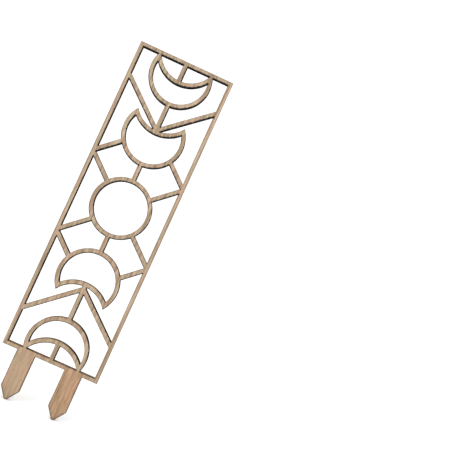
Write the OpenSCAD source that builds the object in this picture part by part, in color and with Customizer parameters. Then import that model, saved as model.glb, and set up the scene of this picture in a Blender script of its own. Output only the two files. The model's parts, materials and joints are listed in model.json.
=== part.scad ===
// Wooden plant trellis panel: a slim frame around a column of moon phases, on two ground stakes.
// The panel stands upright in the XZ plane, +X right and +Z up, with its front face towards -Y.
// The origin is on the soil line, at the middle of the frame's lower edge.
//
// Every joint is a glued half lap. On the front half of the thickness a bar ends at the edge of
// its neighbour. On the back half it runs on as a tongue, into a pocket of the same outline.

/* [Frame] */
// Width over both stiles
panel_w = 107; // [98:1:140]
// Height from the soil line to the top edge
panel_h = 348; // [336:1:420]
// Thickness of the wood
sheet_t = 5; // [2:0.2:8]
// Width of the stiles and rails
frame_bar = 4.4; // [3.4:0.1:7]

/* [Moons] */
// Outer radius of the crescent and gibbous moons
moon_r = 34.2; // [31:0.1:38]
// Outer radius of the full moon
full_moon_r = 33.3; // [28:0.1:40]
// Width of the band that draws each moon
moon_band = 4.9; // [3.6:0.1:7]
// Height of the full moon's middle above the middle of the frame
full_moon_rise = 3.5; // [-8:0.1:8]
// Distance from the full moon's middle to each gibbous moon's, before the column is spread
gibbous_pitch = 83.4; // [76:0.1:92]
// Height between the upper gibbous moon's bite and the top crescent, before the column is spread
bite_gap = 28.4; // [20:0.1:40]
// Distance from the top crescent's middle to the top edge
top_crescent_inset = 17.5; // [12:0.1:22]
// Distance from the bottom crescent's middle to the soil line
bottom_crescent_inset = 16; // [12:0.1:22]
// Depth of a crescent on the middle line
crescent_depth = 29.9; // [24:0.1:33]
// Depth of a gibbous moon on the middle line
gibbous_depth = 41.2; // [36:0.1:46]
// Radius of the bite out of a gibbous moon
gibbous_bite_r = 32.5; // [29:0.1:40]
// Width of a crescent's horn where it meets its rail
horn_w = 3.8; // [2:0.1:5]

/* [Posts, braces and struts] */
// Width of every post, brace and strut
strut_w = 5; // [3.6:0.1:7]
// Rise of a V brace from its point to the stile
brace_rise = 41.8; // [36:0.1:52]
// Distance from a gibbous moon's bite to the point of the V
brace_point_gap = 1.3; // [0:0.1:2]
// Drop of the points that braces and struts aim at, below the moons' own points
aim_drop = 1.5; // [0:0.1:4]
// Spacing of the two struts that meet at one place on a stile
strut_spacing = 5.2; // [3:0.1:8]

/* [Stakes] */
// Width of a stake
stake_w = 20; // [12:0.5:26]
// Distance between the middles of the stakes
stake_pitch = 53.4; // [40:0.1:70]
// Length of a stake below the soil line
stake_len = 52.2; // [30:0.1:90]
// Length of the stake's point
stake_point = 11.8; // [6:0.1:25]
// Width of the blunted tip
stake_tip = 2.6; // [1:0.1:8]

/* [Joints] */
// Length of a tongue
lap = 2.2; // [1:0.1:3]
// Wood left in a crescent's horn between the inner arc's tongue and the rail
horn_shoulder = 1; // [0.4:0.1:2]

/* [Hidden] */
$fn = 128;
LEFT = -1;
RIGHT = 1;
UP = 1;
DOWN = -1;

// Half the width between the stiles, and the rails' inner edges
inner_x = panel_w / 2 - frame_bar;
inner_top = panel_h - frame_bar;
inner_bottom = frame_bar;

// A crescent's bite is the arc through the inner corners of its horns, at the rail,
// and through the edge that leaves the crescent its depth on the middle line
function crescent_bite_r(inset) =
    let (horn_rise = inset - frame_bar)
    let (horn_x = sqrt(pow(moon_r, 2) - pow(horn_rise, 2)) - horn_w)
    let (sag = horn_rise + moon_r - crescent_depth)
    (pow(horn_x, 2) + pow(sag, 2)) / (2 * sag);

// The column of moons is spread to the panel's height, with the gaps between the moons in proportion
full_moon_z = panel_h / 2 + full_moon_rise;
top_crescent_z = panel_h - top_crescent_inset;
ring_gap = gibbous_pitch - full_moon_r - moon_r;
free_h = top_crescent_z - moon_r - gibbous_depth - full_moon_r - full_moon_z;
spread = free_h / (ring_gap + bite_gap);
gibbous_rise = full_moon_r + ring_gap * spread + moon_r;

// A bitten moon: height of its middle, the way its bite opens, its depth and its bite's radius
TOP_CRESCENT = [top_crescent_z, UP, crescent_depth, crescent_bite_r(top_crescent_inset)];
UPPER_GIBBOUS = [full_moon_z + gibbous_rise, UP, gibbous_depth, gibbous_bite_r];
LOWER_GIBBOUS = [full_moon_z - gibbous_rise, DOWN, gibbous_depth, gibbous_bite_r];
BOTTOM_CRESCENT = [bottom_crescent_inset, DOWN, crescent_depth, crescent_bite_r(bottom_crescent_inset)];

function middle_z(moon) = moon[0];
function opens(moon) = moon[1];
function bite_r(moon) = moon[3];
function bite_edge_z(moon) = middle_z(moon) - opens(moon) * (moon_r - moon[2]);
function bite_middle_z(moon) = bite_edge_z(moon) + opens(moon) * bite_r(moon);
function crescent_beyond(gibbous) = opens(gibbous) == UP ? TOP_CRESCENT : BOTTOM_CRESCENT;

// Where the braces and struts aim, and where two struts meet at a stile
ring_aim_z = full_moon_z - aim_drop;
function aim_z(moon) = bite_edge_z(moon) + opens(moon) * brace_point_gap - aim_drop;
function stile_joint_z(moon) = (aim_z(moon) + ring_aim_z) / 2;

// Outlines drawn in X and Z are given thickness here: the whole of it, or one half
module slab(from, to) {
    rotate([90, 0, 0]) translate([0, 0, from]) linear_extrude(to - from) children();
}
module whole() { slab(-sheet_t / 2, sheet_t / 2) children(); }
module front_half() { slab(0, sheet_t / 2) children(); }
module back_half() { slab(-sheet_t / 2, 0) children(); }

// A bar with a tongue: its outline reaches $reach further on the back half than on the front
module lapped() {
    front_half() let ($reach = 0) children();
    back_half() let ($reach = lap) children();
}

// The pockets that the tongues of other bars need, cut through the back face
module pockets() {
    slab(-sheet_t, 0) let ($reach = lap) children();
}

// The clear space inside the frame, with what a tongue takes of the frame's bars
module frame_opening() {
    translate([-inner_x - $reach, inner_bottom - $reach])
        square([2 * (inner_x + $reach), inner_top - inner_bottom + 2 * $reach]);
}

module disc(z, r) { translate([0, z]) circle(r); }
module moon_disc(moon, r) { disc(middle_z(moon), r); }
module bite_disc(moon, r) { disc(bite_middle_z(moon), r); }

// All of the panel on one side of a height
module above(z) { translate([-panel_w, z]) square([2 * panel_w, panel_h]); }
module below(z) { translate([-panel_w, z - panel_h]) square([2 * panel_w, panel_h]); }
module beyond(z, way) {
    if (way == UP) above(z);
    else below(z);
}

// All of the panel on one side of the middle line, from a distance on
module beside(side, x) {
    translate([side == LEFT ? -panel_w - x : x, 0]) square([panel_w, panel_h]);
}

// A straight bar from a point on the middle line to a stile, drawn a little past both
module bar(from_z, side, to_z) {
    run = [side * inner_x, to_z - from_z];
    translate([0, from_z]) rotate(atan2(run[1], run[0]))
        translate([-strut_w, -strut_w / 2]) square([strut_w + norm(run) + 2 * frame_bar, strut_w]);
}
module middle_bar(from_z, to_z) {
    translate([-strut_w / 2, from_z]) square([strut_w, to_z - from_z]);
}

// Outlines of the frame: the rails run through to the panel's sides on the back half
module stile_outline(side) {
    translate([side == LEFT ? -panel_w / 2 : inner_x, 0]) square([frame_bar, panel_h]);
}
module rail_outline(z) {
    half_w = $reach > 0 ? panel_w / 2 : inner_x;
    translate([-half_w, z]) square([2 * half_w, frame_bar]);
}

// Outlines of the moons: a crescent's outer arc stops at its rail, where its horns have tongues,
// and its inner arc's tongues stop below the rail, so that the horns stay whole there
module outer_arc_outline(moon) {
    intersection() {
        frame_opening();
        difference() {
            moon_disc(moon, moon_r);
            moon_disc(moon, moon_r - moon_band);
            bite_disc(moon, bite_r(moon));
        }
    }
}
module inner_arc_outline(moon) {
    intersection() {
        let ($reach = $reach > 0 ? -horn_shoulder : 0) frame_opening();
        moon_disc(moon, moon_r - moon_band + $reach);
        difference() {
            bite_disc(moon, bite_r(moon) + moon_band);
            bite_disc(moon, bite_r(moon));
        }
    }
}
module full_moon_outline() {
    difference() {
        disc(full_moon_z, full_moon_r);
        disc(full_moon_z, full_moon_r - moon_band);
    }
}

// Outlines of the posts on the middle line
module crescent_post_outline(crescent) {
    intersection() {
        middle_bar(0, panel_h);
        frame_opening();
        bite_disc(crescent, bite_r(crescent) + $reach);
    }
}
module brace_post_outline(gibbous) {
    difference() {
        intersection() {
            middle_bar(0, panel_h);
            bite_disc(gibbous, bite_r(gibbous));
        }
        moon_disc(crescent_beyond(gibbous), moon_r - $reach);
    }
}
module ring_post_outline(gibbous) {
    ends = [middle_z(gibbous), full_moon_z];
    difference() {
        middle_bar(min(ends), max(ends));
        moon_disc(gibbous, moon_r - $reach);
        disc(full_moon_z, full_moon_r - $reach);
    }
}

// Outline of a V brace, from a stile to the bite of a gibbous moon: it stops at the post in front,
// behind the post it meets the other brace, and it keeps clear of the crescent
module brace_outline(gibbous, side) {
    difference() {
        intersection() {
            bar(aim_z(gibbous), side, aim_z(gibbous) + opens(gibbous) * brace_rise);
            frame_opening();
            beside(side, $reach > 0 ? 0 : strut_w / 2);
        }
        difference() {
            moon_disc(gibbous, moon_r);
            bite_disc(gibbous, bite_r(gibbous) + $reach);
        }
        moon_disc(crescent_beyond(gibbous), moon_r);
    }
}

// Outlines of the two side struts that meet at a stile: each keeps to its own side of the joint
module gibbous_strut_outline(gibbous, side) {
    joint_z = stile_joint_z(gibbous);
    way = opens(gibbous);
    difference() {
        intersection() {
            bar(aim_z(gibbous), side, joint_z + way * strut_spacing / 2);
            frame_opening();
            beyond(joint_z, way);
        }
        moon_disc(gibbous, moon_r - $reach);
    }
}
module ring_strut_outline(gibbous, side) {
    joint_z = stile_joint_z(gibbous);
    way = -opens(gibbous);
    difference() {
        intersection() {
            bar(ring_aim_z, side, joint_z + way * strut_spacing / 2);
            frame_opening();
            beyond(joint_z, way);
        }
        disc(full_moon_z, full_moon_r - $reach);
    }
}

// Outline of a stake up to a height: a straight blade and a blunt point
module stake_outline(side, top_z) {
    shoulder_z = stake_point - stake_len;
    translate([side * stake_pitch / 2, 0]) polygon([
        [-stake_w / 2, top_z],
        [-stake_w / 2, shoulder_z],
        [-stake_tip / 2, -stake_len],
        [stake_tip / 2, -stake_len],
        [stake_w / 2, shoulder_z],
        [stake_w / 2, top_z]
    ]);
}

// The frame: corner half laps, the stiles in front and the rails behind
module stile(side) {
    color("burlywood") difference() {
        whole() stile_outline(side);
        pockets() {
            rail_outline(0);
            rail_outline(inner_top);
            for (gibbous = [UPPER_GIBBOUS, LOWER_GIBBOUS]) {
                brace_outline(gibbous, side);
                gibbous_strut_outline(gibbous, side);
                ring_strut_outline(gibbous, side);
            }
        }
    }
}
module rail(z, crescent) {
    color("burlywood") difference() {
        lapped() rail_outline(z);
        pockets() {
            outer_arc_outline(crescent);
            crescent_post_outline(crescent);
        }
    }
}
module top_rail() { rail(inner_top, TOP_CRESCENT); }

// The stakes pass in front of the bottom rail, which is notched for them from edge to edge
module bottom_rail() {
    difference() {
        rail(0, BOTTOM_CRESCENT);
        for (side = [LEFT, RIGHT]) slab(0, sheet_t) stake_outline(side, 2 * frame_bar);
    }
}

// The moons
module crescent_outer_arc(gibbous) {
    crescent = crescent_beyond(gibbous);
    color("tan") difference() {
        lapped() outer_arc_outline(crescent);
        pockets() {
            inner_arc_outline(crescent);
            brace_post_outline(gibbous);
        }
    }
}
module crescent_inner_arc(crescent) {
    color("tan") difference() {
        lapped() inner_arc_outline(crescent);
        pockets() crescent_post_outline(crescent);
    }
}
module gibbous_outer_arc(gibbous) {
    color("tan") difference() {
        whole() let ($reach = 0) outer_arc_outline(gibbous);
        pockets() {
            inner_arc_outline(gibbous);
            ring_post_outline(gibbous);
            for (side = [LEFT, RIGHT]) gibbous_strut_outline(gibbous, side);
        }
    }
}
module gibbous_inner_arc(gibbous) {
    color("tan") difference() {
        lapped() inner_arc_outline(gibbous);
        pockets() for (side = [LEFT, RIGHT]) brace_outline(gibbous, side);
    }
}
module full_moon_ring() {
    color("tan") difference() {
        whole() full_moon_outline();
        pockets() for (gibbous = [UPPER_GIBBOUS, LOWER_GIBBOUS]) {
            ring_post_outline(gibbous);
            for (side = [LEFT, RIGHT]) ring_strut_outline(gibbous, side);
        }
    }
}

// The posts, braces and struts
module crescent_post(crescent) { color("wheat") lapped() crescent_post_outline(crescent); }
module brace_post(gibbous) {
    color("wheat") difference() {
        lapped() brace_post_outline(gibbous);
        pockets() for (side = [LEFT, RIGHT]) brace_outline(gibbous, side);
    }
}
module ring_post(gibbous) { color("wheat") lapped() ring_post_outline(gibbous); }
module brace(gibbous, side) { color("wheat") lapped() brace_outline(gibbous, side); }
module gibbous_strut(gibbous, side) { color("wheat") lapped() gibbous_strut_outline(gibbous, side); }
module ring_strut(gibbous, side) { color("wheat") lapped() ring_strut_outline(gibbous, side); }

// The stakes
module stake(side) {
    color("peru") {
        front_half() stake_outline(side, frame_bar);
        back_half() stake_outline(side, 0);
    }
}

stile(LEFT);  // left_stile
stile(RIGHT);  // right_stile
top_rail();
bottom_rail();
crescent_outer_arc(UPPER_GIBBOUS);  // top_crescent_outer_arc
crescent_inner_arc(TOP_CRESCENT);  // top_crescent_inner_arc
gibbous_outer_arc(UPPER_GIBBOUS);  // upper_gibbous_outer_arc
gibbous_inner_arc(UPPER_GIBBOUS);  // upper_gibbous_inner_arc
full_moon_ring();
gibbous_outer_arc(LOWER_GIBBOUS);  // lower_gibbous_outer_arc
gibbous_inner_arc(LOWER_GIBBOUS);  // lower_gibbous_inner_arc
crescent_outer_arc(LOWER_GIBBOUS);  // bottom_crescent_outer_arc
crescent_inner_arc(BOTTOM_CRESCENT);  // bottom_crescent_inner_arc
crescent_post(TOP_CRESCENT);  // top_post
brace_post(UPPER_GIBBOUS);  // upper_brace_post
ring_post(UPPER_GIBBOUS);  // upper_ring_post
ring_post(LOWER_GIBBOUS);  // lower_ring_post
brace_post(LOWER_GIBBOUS);  // lower_brace_post
crescent_post(BOTTOM_CRESCENT);  // bottom_post
brace(UPPER_GIBBOUS, LEFT);  // upper_left_brace
brace(UPPER_GIBBOUS, RIGHT);  // upper_right_brace
brace(LOWER_GIBBOUS, LEFT);  // lower_left_brace
brace(LOWER_GIBBOUS, RIGHT);  // lower_right_brace
gibbous_strut(UPPER_GIBBOUS, LEFT);  // upper_left_gibbous_strut
gibbous_strut(UPPER_GIBBOUS, RIGHT);  // upper_right_gibbous_strut
gibbous_strut(LOWER_GIBBOUS, LEFT);  // lower_left_gibbous_strut
gibbous_strut(LOWER_GIBBOUS, RIGHT);  // lower_right_gibbous_strut
ring_strut(UPPER_GIBBOUS, LEFT);  // upper_left_ring_strut
ring_strut(UPPER_GIBBOUS, RIGHT);  // upper_right_ring_strut
ring_strut(LOWER_GIBBOUS, LEFT);  // lower_left_ring_strut
ring_strut(LOWER_GIBBOUS, RIGHT);  // lower_right_ring_strut
stake(LEFT);  // left_stake
stake(RIGHT);  // right_stake
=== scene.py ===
# A wooden plant trellis panel: bare plywood faces, scorched cut edges with painted shade and painted light,
# a pale floor and soft light
import json
import math

import bmesh
import bpy
import numpy as np
from mathutils import Matrix, Vector


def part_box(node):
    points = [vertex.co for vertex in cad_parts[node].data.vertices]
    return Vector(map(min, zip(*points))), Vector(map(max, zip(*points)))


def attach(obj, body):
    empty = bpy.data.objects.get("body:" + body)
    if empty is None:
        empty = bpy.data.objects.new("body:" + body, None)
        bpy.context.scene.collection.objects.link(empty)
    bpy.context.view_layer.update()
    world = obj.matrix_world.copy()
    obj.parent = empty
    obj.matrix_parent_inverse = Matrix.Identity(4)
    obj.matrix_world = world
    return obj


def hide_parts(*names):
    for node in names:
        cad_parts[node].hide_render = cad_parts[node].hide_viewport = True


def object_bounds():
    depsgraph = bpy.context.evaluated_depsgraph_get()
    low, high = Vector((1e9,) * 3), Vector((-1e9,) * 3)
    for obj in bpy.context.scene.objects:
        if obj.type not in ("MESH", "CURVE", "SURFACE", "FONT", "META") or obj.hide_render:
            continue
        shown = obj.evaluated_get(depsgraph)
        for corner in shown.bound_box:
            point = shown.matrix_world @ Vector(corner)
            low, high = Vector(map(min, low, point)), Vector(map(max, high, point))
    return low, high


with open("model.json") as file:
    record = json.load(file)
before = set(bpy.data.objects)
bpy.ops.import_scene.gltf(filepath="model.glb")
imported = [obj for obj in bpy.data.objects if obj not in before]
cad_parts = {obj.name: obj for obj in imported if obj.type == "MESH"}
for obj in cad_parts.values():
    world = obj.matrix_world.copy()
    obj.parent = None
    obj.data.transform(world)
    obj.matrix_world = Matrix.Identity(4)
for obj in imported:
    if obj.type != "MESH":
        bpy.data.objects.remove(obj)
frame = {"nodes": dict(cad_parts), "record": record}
cad_box = [list(corner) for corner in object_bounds()]
slots = {part["node"]: part["material_slot"] for part in frame["record"]["subparts"]}

MM = 0.001

# Camera: it looks at the panel nearly square on, rolled so that the panel leans, and its lens is
# shifted sideways so that the panel stands in the left half of the picture
CAMERA_PLACE = Vector((0.0650, -0.5533, 0.1680))
CAMERA_AIM = Vector((0.0806, -0.0025, 0.1834))
CAMERA_ROLL = math.radians(24.37)
CAMERA_LENS_MM = 40
CAMERA_SHIFT = 0.09
SENSOR_MM = 36

# Light and floor
WHITE = (1, 1, 1, 1)
SKY_STRENGTH = 1.15
KEY_PLACE = Vector((-0.7, -1.1, 1.3))
KEY_SIZE = 1.2
KEY_WATTS = 10
FLOOR_HALF = 6.0
FLOOR_COLOUR = (0.97, 0.97, 0.97, 1)

# Surface of the wood: the grid that its faces are cut into, what counts as one point and as one plane,
# how little a side's normal points to the front or back, and the turn that is still shaded smoothly
GRID_STEP = 1.0 * MM
SAME_POINT = 0.002 * MM
FLAT_ANGLE = math.radians(0.3)
SIDE_NORMAL = 0.5
SMOOTH_BELOW = math.radians(30)

# Edges are followed in short steps. A step is a joint where another piece lies just outside it, and
# it is shaded where it borders an opening and faces the way of the painted shade: to the
# right and a little up at the panel's foot, turning to the right and down by half the panel's height
EDGE_STEP = 0.5 * MM
JUST_OUTSIDE = 0.05 * MM
SHADE_WAY_AT_FOOT = (0.62, 0.10)
SHADE_WAY = (0.37, -0.93)
SHADE_TURNED_AT = 0.5
SHADED_ABOVE = -0.20

# Width of the black band beside a shaded edge at half the panel's height, what it gains where the edge faces
# the shade's way squarely and from the panel's foot to its top, and the share that the frame's bars have.
# The band is partly char and partly painted shade: a painted shadow below and to the right of each bar,
# and painted shade that stands for the side walls in view, widening towards the panel's top
CHAR_AND_SHADE_WIDTH = 0.56 * MM
SHADE_BY_WAY = 0.58 * MM
SHADE_BY_HEIGHT = 0.30 * MM
FRAME_CHAR_AND_SHADE = 0.75
FRAME_SLOT = "frame_wood"

# Distances to the edges, kept at the points of each piece, and the distance that stands for none near
CUT_ATTRIBUTE = "cut_distance_mm"
CHAR_AND_SHADE_ATTRIBUTE = "char_and_shade_widths"
JOINT_ATTRIBUTE = "joint_distance_mm"
FARTHEST = 3.0

# Finishes of a piece, in the order of its materials
FACE_FINISH, CHARRED_AND_LIT_FINISH, SINGED_FINISH = range(3)

# Veneers: where in the log each was cut, in millimetres, its two colours, as linear values, and how
# strongly its streaks and growth rings show
LATTICE_VENEER = {
    "log_place": (2192, 0, 6576),
    "pale": (0.502, 0.396, 0.280, 1),
    "brown": (0.235, 0.157, 0.095, 1),
    "streaks": 0.65,
    "rings": 0.30,
}
LEFT_STAKE_VENEER = {
    "log_place": (304, 0, 630),
    "pale": (0.460, 0.338, 0.232, 1),
    "brown": (0.265, 0.172, 0.100, 1),
    "streaks": 0.45,
    "rings": 0.20,
}
RIGHT_STAKE_VENEER = {
    "log_place": (379, 0, 110),
    "pale": (0.506, 0.348, 0.221, 1),
    "brown": (0.230, 0.133, 0.067, 1),
    "streaks": 0.50,
    "rings": 0.20,
}

# Patterns of the grain: repeats per millimetre along X, Y and Z, detail of the noise, and the band of
# the noise in which the pattern goes from none to full
STREAKS = {"stretch": (0.40, 0.40, 0.014), "detail": 3, "band": (0.32, 0.68)}
FIBRES = {"stretch": (0.95, 0.95, 0.03), "detail": 3, "band": (0.30, 0.70)}
PORES = {"stretch": (3.2, 3.2, 0.30), "detail": 1, "band": (0.62, 0.72)}
FLECKS = {"stretch": (1.1, 1.1, 0.08), "detail": 2, "band": (0.54, 0.70)}
CLOUDS = {"stretch": (0.11, 0.11, 0.035), "detail": 2, "band": (0.35, 0.65)}
NOISE_ROUGHNESS = 0.6
FIBRE_WEIGHT = 0.35
FLECK_WEIGHT = 0.45
PORE_WEIGHT = 0.35
FIBRE_RELIEF = 0.5

# Growth rings: how many there are per millimetre, how they drift, in rings, and how late they darken
RINGS_PER_MM = 0.11
RING_DRIFT = {"stretch": (0.03, 0.03, 0.007), "detail": 2}
RING_DRIFT_COUNT = 5
RING_POWER = 3

# Scorching on the faces: how its width varies, how much wider it is on the stakes, below the soil line,
# and at their points. Each mark has the distances from its edge where it starts to fade and where it
# ends, in millimetres or in widths of the char, and its strength
UNEVEN = {"stretch": (0.5, 0.5, 0.5), "detail": 3, "band": (0.3, 0.7), "to": (0.7, 1.35)}
STAKE_SPREAD = 2.2
STAKE_BAND_MM = (-2, 0)
POINT_SPREAD = 1.7
POINT_BAND_MM = (-50, -34)
LINE_FADE = (0.10, 0.38, 0.85)
HAZE_FADE = (0.10, 1.40, 0.24)
# The char mark is partly char and partly painted shade: a painted shadow beside the bars
CHAR_AND_SHADE_FADE = (0.70, 1.30, 0.97)
SEAM_FADE = (0.02, 0.09, 0.55)

# Cut edges: ridges and patches left by cutting, glue lines to either side of the middle ply, and how far
# an edge faces away from the painted shade's way, as the dot product with it, where it is painted lit in the
# singed colours and where burnt
RIDGES = {"stretch": (2.2, 0.15, 2.2), "detail": 3}
RIDGE_BAND = (0.35, 0.75)
PATCHES = {"stretch": (0.12, 0.5, 0.12), "detail": 2, "band": (0.3, 0.7), "to": (0.3, 1.0)}
GLUE_LINE_MM = 0.85
GLUE_FADE = (0.05, 0.22, 0.6)
PAINTED_LIGHT_FADE = (-0.95, -0.50, 0.78)

# Relief and gloss
FACE_BUMP = {"Strength": 0.25, "Distance": 0.1 * MM}
EDGE_BUMP = {"Strength": 0.5, "Distance": 0.15 * MM}
PALE_ROUGHNESS = 0.62
BROWN_ROUGHNESS = 0.74
MATT_ROUGHNESS = 0.9
FACE_SPECULAR = 0.3
NO_SPECULAR = 0.0

# Colours of pores, tints, scorching and cut edges, as linear values
PORE_BROWN = (0.150, 0.085, 0.045, 1)
ROSY = (1.06, 0.98, 0.98, 1)
STRAW = (0.972, 0.995, 0.950, 1)
SCORCH_BROWN = (0.130, 0.068, 0.032, 1)
LINE_BROWN = (0.022, 0.014, 0.008, 1)
# This black is the burnt walls' char, and also the painted shade in the band beside the bars on the faces
CHAR_AND_SHADE_BLACK = (0.003, 0.0023, 0.0017, 1)
CHAR_BROWN = (0.030, 0.018, 0.011, 1)
# The singed colours are the outer edges' own brown, and also the painted light on inner walls that face up
# and to the left
SINGED_AND_LIT_DARK = (0.150, 0.094, 0.054, 1)
SINGED_AND_LIT_TAN = (0.370, 0.262, 0.168, 1)
JOINT_BROWN = (0.120, 0.070, 0.038, 1)


# Reading the frame

def from_mesh(items, name, width):
    """A mesh's own values as an array, one row for each item."""
    values = np.empty(width * len(items), np.float32)
    items.foreach_get(name, values)
    return values.reshape(-1, width).astype(float)


def merged_triangles(name):
    """Points and triangles of a CAD piece, with points that coincide made one."""
    mesh = frame["nodes"][name].data
    mesh.calc_loop_triangles()
    points = from_mesh(mesh.vertices, "co", 3)
    corners = np.empty(3 * len(mesh.loop_triangles), np.int32)
    mesh.loop_triangles.foreach_get("vertices", corners)
    rounded = np.round(points / SAME_POINT)
    _, first, merged = np.unique(rounded, axis=0, return_index=True, return_inverse=True)
    return points[first], merged.reshape(-1)[corners].reshape(-1, 3)


def face_triangles(points, triangles, face_y):
    """The triangles in the plane of one face, turned to run anticlockwise as seen from the front."""
    face = triangles[np.all(np.abs(points[triangles, 1] - face_y) < SAME_POINT, axis=1)]
    return face if face_y < 0 else face[:, ::-1]


def border_sides(points, face):
    """Start and end, in X and Z, of each side that only one triangle of a face has.

    The triangles run anticlockwise as seen from the front, so the wood is to the left of each side.
    """
    sides = np.concatenate([face[:, [0, 1]], face[:, [1, 2]], face[:, [2, 0]]])
    _, key, count = np.unique(np.sort(sides, axis=1), axis=0, return_inverse=True, return_counts=True)
    border = sides[count[key.reshape(-1)] == 1]
    flat = points[:, [0, 2]]
    return flat[border[:, 0]], flat[border[:, 1]]


def short_steps(start, end):
    """Each side as equal steps no longer than EDGE_STEP: start plus a whole number of steps."""
    count = np.ceil(np.linalg.norm(end - start, axis=1) / EDGE_STEP).astype(int)
    side = np.repeat(np.arange(len(count)), count)
    number = np.arange(len(side)) - np.repeat(np.cumsum(count) - count, count)
    step = ((end - start) / count[:, None])[side]
    begin = start[side] + step * number[:, None]
    return begin, step


def piece_borders(face_y):
    """Corners of each piece's triangles in one face, and the steps along all their borders.

    A row of the steps is the start in X and Z, the step in X and Z, and the share of char and painted shade
    that it has.
    """
    faces = []
    steps = []
    for name in sorted(frame["nodes"]):
        points, triangles = merged_triangles(name)
        face = face_triangles(points, triangles, face_y)
        begin, step = short_steps(*border_sides(points, face))
        share = FRAME_CHAR_AND_SHADE if slots[name] == FRAME_SLOT else 1
        faces.append(points[:, [0, 2]][face])
        steps.append(np.column_stack([begin, step, np.full(len(begin), share)]))
    return faces, np.concatenate(steps)


# Cuts, painted shade and joints

def in_triangles(spots, corners):
    """True for each spot that is to the left of all three sides of one of the triangles."""
    inside = np.ones((len(spots), len(corners)), bool)
    for corner in range(3):
        start = corners[:, corner]
        along = corners[:, (corner + 1) % 3] - start
        offset = spots[:, None, :] - start[None, :, :]
        inside &= along[None, :, 0] * offset[:, :, 1] >= along[None, :, 1] * offset[:, :, 0]
    return inside.any(axis=1)


def in_faces(spots, faces):
    """True for each spot that lies in one of the pieces' faces."""
    found = np.zeros(len(spots), bool)
    for corners in faces:
        low = corners.min(axis=(0, 1))
        high = corners.max(axis=(0, 1))
        near = np.all((spots >= low) & (spots <= high), axis=1)
        found[near] |= in_triangles(spots[near], corners)
    return found


def on_outline(x, z):
    """True for places on the panel's outer outline: at its sides, at its top, or below the rail."""
    high = np.array(cad_box[1])
    return (np.abs(x) > high[0] - SAME_POINT) | (z > high[2] - SAME_POINT) | (z < SAME_POINT)


def shade_way(height):
    """Way of the painted shade, in X and Z, at each share of the panel's height.

    It goes evenly from the way at the foot to the way above, and stays so once it has turned.
    """
    turned = np.clip(height / SHADE_TURNED_AT, 0, 1)[:, None]
    return (1 - turned) * np.array(SHADE_WAY_AT_FOOT) + turned * np.array(SHADE_WAY)


def panel_edges(face_y):
    """Steps along the pieces' borders in one face, as three lists: all cuts, shaded cuts, then joints.

    Outward is the step turned a quarter to the right, away from the wood. A step is a joint if the spot
    just outside its middle lies in another piece's face. It is shaded by the dot product of outward and
    the painted shade's way, and its band of char and painted shade is as wide as that and its height make
    it.
    The last column is the length that distances are measured in: a millimetre, or the width of that band
    beside a shaded cut.
    """
    faces, steps = piece_borders(face_y)
    begin, step, share = steps[:, :2], steps[:, 2:4], steps[:, 4]
    outward = np.stack([step[:, 1], -step[:, 0]], axis=1) / np.linalg.norm(step, axis=1)[:, None]
    middle = begin + step / 2
    joint = in_faces(middle + outward * JUST_OUTSIDE, faces)
    height = middle[:, 1] / cad_box[1][2]
    facing = np.sum(outward * shade_way(height), axis=1)
    # Painted shade: a black band beside edges that face down and to the right, wider towards the panel's top
    shaded = ~joint & ~on_outline(*middle.T) & (facing > SHADED_ABOVE)
    char_and_shade = (CHAR_AND_SHADE_WIDTH + SHADE_BY_WAY * facing + SHADE_BY_HEIGHT * (height - 0.5)) * share
    in_millimetres = np.column_stack([begin, step, np.full(len(steps), MM)])
    in_char_and_shade_widths = np.column_stack([begin, step, char_and_shade])
    return in_millimetres[~joint], in_char_and_shade_widths[shaded], in_millimetres[joint]


def distance_to(steps, spots):
    """Distance from each spot to the nearest step, in that step's own unit.

    The nearest place on a step is its start plus the share of it that the spot lies along.
    """
    low = spots.min(axis=0) - FARTHEST * MM
    high = spots.max(axis=0) + FARTHEST * MM
    near = np.all((steps[:, :2] >= low) & (steps[:, :2] <= high), axis=1)
    nearest = np.full(len(spots), FARTHEST)
    for x, z, along_x, along_z, unit in steps[near]:
        off_x = spots[:, 0] - x
        off_z = spots[:, 1] - z
        share = np.clip((off_x * along_x + off_z * along_z) / (along_x ** 2 + along_z ** 2), 0, 1)
        away = np.hypot(off_x - share * along_x, off_z - share * along_z)
        np.minimum(nearest, away / unit, out=nearest)
    return nearest


def edge_distances(points, face_edges):
    """Distance from each point to the nearest cut, shaded cut and joint of its own face."""
    away = np.full((3, len(points)), FARTHEST)
    for face_y, edges in face_edges.items():
        here = np.abs(points[:, 1] - face_y) < SAME_POINT
        if here.any():
            for row, steps in zip(away, edges):
                row[here] = distance_to(steps, points[here][:, [0, 2]])
    return away


# Wooden pieces

def fine_surface(name):
    """A copy of a CAD piece's surface: points merged, flat areas joined, then cut along a square grid."""
    surface = bmesh.new()
    surface.from_mesh(frame["nodes"][name].data)
    bmesh.ops.remove_doubles(surface, verts=surface.verts, dist=SAME_POINT)
    bmesh.ops.dissolve_limit(surface, angle_limit=FLAT_ANGLE, verts=surface.verts, edges=surface.edges)
    low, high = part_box(name)
    for axis in (0, 2):
        normal = Vector((axis == 0, 0, axis == 2))
        first = math.ceil(low[axis] / GRID_STEP)
        last = math.floor(high[axis] / GRID_STEP)
        for line in range(first, last + 1):
            everything = surface.verts[:] + surface.edges[:] + surface.faces[:]
            bmesh.ops.bisect_plane(surface, geom=everything, dist=SAME_POINT,
                                   plane_co=normal * line * GRID_STEP, plane_no=normal)
    mesh = bpy.data.meshes.new(name + "_wood")
    surface.to_mesh(mesh)
    surface.free()
    return mesh


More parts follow.
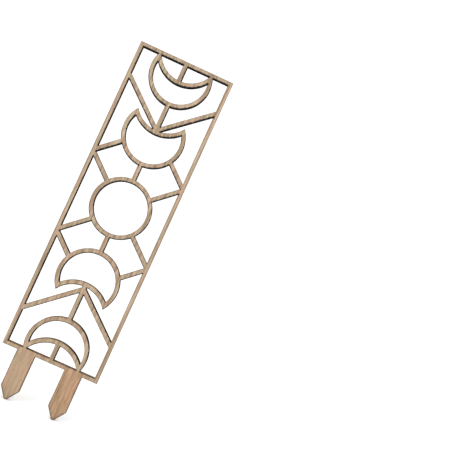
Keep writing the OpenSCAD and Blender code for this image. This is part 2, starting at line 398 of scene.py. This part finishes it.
def wood_piece(name, finishes, face_edges):
    """The piece that stands for a CAD node: veneer on its two faces, char with painted light on its inner
    sides, and a singed brown on its outer sides.
    """
    mesh = fine_surface(name)
    distances = edge_distances(from_mesh(mesh.vertices, "co", 3), face_edges)
    for label, away in zip((CUT_ATTRIBUTE, CHAR_AND_SHADE_ATTRIBUTE, JOINT_ATTRIBUTE), distances):
        mesh.attributes.new(label, "FLOAT", "POINT").data.foreach_set("value", away.astype(np.float32))
    is_side = np.abs(from_mesh(mesh.polygons, "normal", 3)[:, 1]) < SIDE_NORMAL
    middles = from_mesh(mesh.polygons, "center", 3)
    is_outer = on_outline(middles[:, 0], middles[:, 2])
    for material in finishes:
        mesh.materials.append(material)
    side_finish = np.where(is_outer, SINGED_FINISH, CHARRED_AND_LIT_FINISH)
    finish = np.where(is_side, side_finish, FACE_FINISH)
    mesh.polygons.foreach_set("material_index", finish.astype(np.int32))
    mesh.shade_smooth()
    mesh.set_sharp_from_angle(angle=SMOOTH_BELOW)
    piece = bpy.data.objects.new(name + "_wood", mesh)
    bpy.context.scene.collection.objects.link(piece)
    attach(piece, "root")
    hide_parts(name)


# Shader nodes

def feed(tree, socket, value):
    """Sets an input to a number or a colour, or joins it to another node's output."""
    if isinstance(value, bpy.types.NodeSocket):
        tree.links.new(value, socket)
    else:
        socket.default_value = value


def add(tree, kind, inputs, output=0, **settings):
    """Adds a node with its settings and inputs, and gives back one of its outputs."""
    node = tree.nodes.new(kind)
    for name, value in settings.items():
        setattr(node, name, value)
    for name, value in inputs.items():
        feed(tree, node.inputs[name], value)
    return node.outputs[output]


def combine(tree, operation, first, second):
    """Two numbers put together."""
    return add(tree, "ShaderNodeMath", {0: first, 1: second}, operation=operation)


def vectors(tree, operation, first, second, output="Vector"):
    """Two vectors put together."""
    return add(tree, "ShaderNodeVectorMath", {0: first, 1: second}, output=output, operation=operation)


def blend(tree, factor, under, over, way="MIX"):
    """Two colours mixed by a factor."""
    inputs = {"Factor": factor, 6: under, 7: over}
    return add(tree, "ShaderNodeMix", inputs, output=2, data_type="RGBA", blend_type=way)


def ramp(tree, value, low, high, to_low=0.0, to_high=1.0):
    """A value from low to high, eased to run from to_low to to_high."""
    inputs = {"Value": value, "From Min": low, "From Max": high, "To Min": to_low, "To Max": to_high}
    return add(tree, "ShaderNodeMapRange", inputs, interpolation_type="SMOOTHSTEP")


def fade(tree, value, near, far, strength):
    """A strength that is whole up to near, and eases to nothing at far."""
    return ramp(tree, value, near, far, strength, 0.0)


def noise(tree, position, stretch, detail):
    """Noise on a position in millimetres, stretched along each axis."""
    inputs = {"Vector": vectors(tree, "MULTIPLY", position, stretch), "Scale": 1, "Detail": detail,
              "Roughness": NOISE_ROUGHNESS}
    return add(tree, "ShaderNodeTexNoise", inputs)


def pattern(tree, position, stretch, detail, band, to=(0.0, 1.0)):
    """Noise with a band of its values eased to run from one value to another."""
    return ramp(tree, noise(tree, position, stretch, detail), *band, *to)


def axis_value(tree, vector, axis):
    """One coordinate of a vector."""
    return add(tree, "ShaderNodeSeparateXYZ", {0: vector}, output=axis)


# Effects that materials share

def new_group(name, inputs, outputs):
    """An empty node group with named inputs and outputs."""
    group = bpy.data.node_groups.new(name, "ShaderNodeTree")
    for label, kind in inputs:
        group.interface.new_socket(label, in_out="INPUT", socket_type="NodeSocket" + kind)
    for label, kind in outputs:
        group.interface.new_socket(label, in_out="OUTPUT", socket_type="NodeSocket" + kind)
    given = group.nodes.new("NodeGroupInput").outputs
    result = group.nodes.new("NodeGroupOutput").inputs
    return group, given, result


def veneer_group():
    """Plain-sawn veneer with its grain along Z: growth rings, streaks, fibres, flecks, pores and tints.

    A growth ring darkens slowly across X and ends at once, as a power of the share of a ring's width.
    """
    inputs = [("Position", "Vector"), ("Pale", "Color"), ("Brown", "Color"), ("Streaks", "Float"),
              ("Rings", "Float")]
    outputs = [("Color", "Color"), ("Height", "Float"), ("Roughness", "Float")]
    group, given, result = new_group("veneer", inputs, outputs)
    position = given["Position"]
    streaks = pattern(group, position, **STREAKS)
    fibres = pattern(group, position, **FIBRES)
    pores = pattern(group, position, **PORES)
    flecks = pattern(group, position, **FLECKS)
    clouds = pattern(group, position, **CLOUDS)
    drift = combine(group, "MULTIPLY", noise(group, position, **RING_DRIFT), RING_DRIFT_COUNT)
    count = combine(group, "MULTIPLY", axis_value(group, position, "X"), RINGS_PER_MM)
    share = combine(group, "FRACT", combine(group, "ADD", count, drift), 0)
    rings = combine(group, "POWER", share, RING_POWER)
    grain = combine(group, "MULTIPLY", streaks, given["Streaks"])
    for marks, weight in ((rings, given["Rings"]), (fibres, FIBRE_WEIGHT), (flecks, FLECK_WEIGHT)):
        grain = combine(group, "ADD", grain, combine(group, "MULTIPLY", marks, weight))
    colour = blend(group, grain, given["Pale"], given["Brown"])
    colour = blend(group, combine(group, "MULTIPLY", pores, PORE_WEIGHT), colour, PORE_BROWN)
    colour = blend(group, 1.0, colour, blend(group, clouds, ROSY, STRAW), "MULTIPLY")
    relief = combine(group, "SUBTRACT", combine(group, "MULTIPLY", fibres, FIBRE_RELIEF), pores)
    feed(group, result["Color"], colour)
    feed(group, result["Height"], relief)
    feed(group, result["Roughness"], ramp(group, grain, 0, 1, PALE_ROUGHNESS, BROWN_ROUGHNESS))
    return group


def scorch_group():
    """Scorching beside a cut: a brown line and a haze that fades into the face, and on the shaded side a
    black band that is partly char and partly painted shade.

    The scorch reaches further on the stakes, and furthest at their points.
    """
    inputs = [("Color", "Color"), ("Cut", "Float"), ("Char and shade", "Float"), ("Joint", "Float"),
              ("Position", "Vector")]
    group, given, result = new_group("scorch", inputs, [("Color", "Color")])
    uneven = pattern(group, given["Position"], **UNEVEN)
    height = axis_value(group, given["Position"], "Z")
    spread = combine(group, "MULTIPLY", uneven, ramp(group, height, *STAKE_BAND_MM, STAKE_SPREAD, 1.0))
    spread = combine(group, "MULTIPLY", spread, ramp(group, height, *POINT_BAND_MM, POINT_SPREAD, 1.0))
    reach = combine(group, "DIVIDE", given["Cut"], spread)
    colour = blend(group, fade(group, reach, *HAZE_FADE), given["Color"], SCORCH_BROWN)
    colour = blend(group, fade(group, given["Joint"], *SEAM_FADE), colour, JOINT_BROWN)
    colour = blend(group, fade(group, reach, *LINE_FADE), colour, LINE_BROWN)
    # Black band of char and painted shade: a painted shadow below and to the right of each bar
    char_and_shade = fade(group, combine(group, "DIVIDE", given["Char and shade"], uneven), *CHAR_AND_SHADE_FADE)
    feed(group, result["Color"], blend(group, char_and_shade, colour, CHAR_AND_SHADE_BLACK))
    return group


def plies_group():
    """Cut edge of plywood: ridges across the thickness, patches of char, and two paler glue lines.

    Where the edge faces away from the painted shade's way, it is painted lit in the singed colours instead
    of burnt.
    """
    inputs = [("Position", "Vector"), ("Dark", "Color"), ("Light", "Color"), ("Painted light", "Float")]
    group, given, result = new_group("plies", inputs, [("Color", "Color"), ("Height", "Float")])
    position = given["Position"]
    ridges = noise(group, position, **RIDGES)
    depth = combine(group, "ABSOLUTE", axis_value(group, position, "Y"), 0)
    from_glue = combine(group, "ABSOLUTE", combine(group, "SUBTRACT", depth, GLUE_LINE_MM), 0)
    glue = fade(group, from_glue, *GLUE_FADE)
    light = combine(group, "ADD", ramp(group, ridges, *RIDGE_BAND), glue)
    light = combine(group, "MULTIPLY", light, pattern(group, position, **PATCHES))
    burnt = blend(group, light, given["Dark"], given["Light"])
    # Painted light: walls facing up and to the left get the paler singed colours
    painted_lit = blend(group, light, SINGED_AND_LIT_DARK, SINGED_AND_LIT_TAN)
    feed(group, result["Color"], blend(group, given["Painted light"], burnt, painted_lit))
    feed(group, result["Height"], combine(group, "SUBTRACT", ridges, glue))
    return group


def place_group(tree, group, inputs):
    """A group's node in a tree, with its inputs set."""
    node = tree.nodes.new("ShaderNodeGroup")
    node.node_tree = group
    for name, value in inputs.items():
        feed(tree, node.inputs[name], value)
    return node.outputs


# Materials

def new_material(name):
    """A material with a bare Principled shader: its tree, and its shader's inputs."""
    material = bpy.data.materials.new(name)
    material.use_nodes = True
    tree = material.node_tree
    return material, tree, tree.nodes["Principled BSDF"].inputs


def position_mm(tree):
    """The surface's own coordinates, in millimetres."""
    own = tree.nodes.new("ShaderNodeTexCoord").outputs["Object"]
    return vectors(tree, "MULTIPLY", own, (1 / MM,) * 3)


def attribute(tree, name):
    """A value that the piece's mesh holds at its points."""
    return add(tree, "ShaderNodeAttribute", {}, output="Fac", attribute_name=name)


def veneer_material(name, veneer, scorch, log_place, pale, brown, streaks, rings):
    """Bare veneer face, cut from one place in the log, with scorched borders and hairline joints."""
    material, tree, shader = new_material(name)
    position = position_mm(tree)
    in_log = vectors(tree, "ADD", position, log_place)
    grain = {"Position": in_log, "Pale": pale, "Brown": brown, "Streaks": streaks, "Rings": rings}
    wood = place_group(tree, veneer, grain)
    borders = {"Color": wood["Color"], "Position": position, "Cut": attribute(tree, CUT_ATTRIBUTE),
               "Char and shade": attribute(tree, CHAR_AND_SHADE_ATTRIBUTE), "Joint": attribute(tree, JOINT_ATTRIBUTE)}
    bump = {"Height": wood["Height"], **FACE_BUMP}
    feed(tree, shader["Base Color"], place_group(tree, scorch, borders)["Color"])
    feed(tree, shader["Roughness"], wood["Roughness"])
    feed(tree, shader["Normal"], add(tree, "ShaderNodeBump", bump))
    shader["Specular IOR Level"].default_value = FACE_SPECULAR
    return material


def edge_material(name, plies, dark, light):
    """Cut edge of the plywood: dark to light, but mostly painted lit in the singed colours where it faces
    away from the painted shade's way, up and to the left.
    """
    material, tree, shader = new_material(name)
    normal = tree.nodes.new("ShaderNodeTexCoord").outputs["Normal"]
    facing = vectors(tree, "DOT_PRODUCT", normal, (SHADE_WAY[0], 0, SHADE_WAY[1]), output="Value")
    look = {"Position": position_mm(tree), "Dark": dark, "Light": light,
            "Painted light": fade(tree, facing, *PAINTED_LIGHT_FADE)}
    edge = place_group(tree, plies, look)
    bump = {"Height": edge["Height"], **EDGE_BUMP}
    feed(tree, shader["Base Color"], edge["Color"])
    feed(tree, shader["Normal"], add(tree, "ShaderNodeBump", bump))
    shader["Roughness"].default_value = MATT_ROUGHNESS
    shader["Specular IOR Level"].default_value = NO_SPECULAR
    return material


# Stage

def floor():
    """A plain pale floor that the stakes' tips touch."""
    tips = cad_box[0][2]
    corners = [(x * FLOOR_HALF, y * FLOOR_HALF, tips) for x, y in ((-1, -1), (1, -1), (1, 1), (-1, 1))]
    mesh = bpy.data.meshes.new("floor")
    mesh.from_pydata(corners, [], [(0, 1, 2, 3)])
    material, _, shader = new_material("floor")
    shader["Base Color"].default_value = FLOOR_COLOUR
    shader["Roughness"].default_value = MATT_ROUGHNESS
    shader["Specular IOR Level"].default_value = NO_SPECULAR
    mesh.materials.append(material)
    plane = bpy.data.objects.new("floor", mesh)
    bpy.context.scene.collection.objects.link(plane)


def sky():
    """Even white light from all around."""
    world = bpy.data.worlds.new("white")
    world.use_nodes = True
    background = world.node_tree.nodes["Background"].inputs
    background["Color"].default_value = WHITE
    background["Strength"].default_value = SKY_STRENGTH
    bpy.context.scene.world = world


def key_light():
    """A large soft lamp, up and to the left in front of the panel."""
    lamp = bpy.data.lights.new("key", "AREA")
    lamp.shape = "DISK"
    lamp.size = KEY_SIZE
    lamp.energy = KEY_WATTS
    holder = bpy.data.objects.new("key", lamp)
    holder.location = KEY_PLACE
    middle = (Vector(cad_box[0]) + Vector(cad_box[1])) / 2
    holder.rotation_euler = (middle - KEY_PLACE).to_track_quat("-Z", "Y").to_euler()
    bpy.context.scene.collection.objects.link(holder)


def camera():
    """A camera at the photograph's place, aimed at its middle and rolled about its own axis."""
    lens = bpy.data.cameras.new("camera")
    lens.sensor_width = SENSOR_MM
    lens.lens = CAMERA_LENS_MM
    lens.shift_x = CAMERA_SHIFT
    holder = bpy.data.objects.new("camera", lens)
    level = (CAMERA_AIM - CAMERA_PLACE).to_track_quat("-Z", "Y").to_matrix().to_4x4()
    holder.matrix_world = Matrix.Translation(CAMERA_PLACE) @ level @ Matrix.Rotation(CAMERA_ROLL, 4, "Z")
    bpy.context.scene.collection.objects.link(holder)
    bpy.context.scene.camera = holder


# Making the scene

def panel():
    """Every piece of the panel, with the stakes' own veneers and the lattice's veneer on the rest."""
    veneer = veneer_group()
    scorch = scorch_group()
    plies = plies_group()
    # Burnt walls, painted lit where they face up and to the left
    charred_and_lit_edge = edge_material("charred_and_lit_edge", plies, CHAR_AND_SHADE_BLACK, CHAR_BROWN)
    singed_edge = edge_material("singed_edge", plies, SINGED_AND_LIT_DARK, SINGED_AND_LIT_TAN)
    lattice_face = veneer_material("lattice_veneer", veneer, scorch, **LATTICE_VENEER)
    stake_faces = {
        "left_stake": veneer_material("left_stake_veneer", veneer, scorch, **LEFT_STAKE_VENEER),
        "right_stake": veneer_material("right_stake_veneer", veneer, scorch, **RIGHT_STAKE_VENEER),
    }
    face_edges = {face_y: panel_edges(face_y) for face_y in (cad_box[0][1], cad_box[1][1])}
    for name in sorted(frame["nodes"]):
        face = stake_faces.get(name, lattice_face)
        wood_piece(name, (face, charred_and_lit_edge, singed_edge), face_edges)


camera()
sky()
key_light()
floor()
bpy.context.scene.view_settings.view_transform = "Standard"
panel()
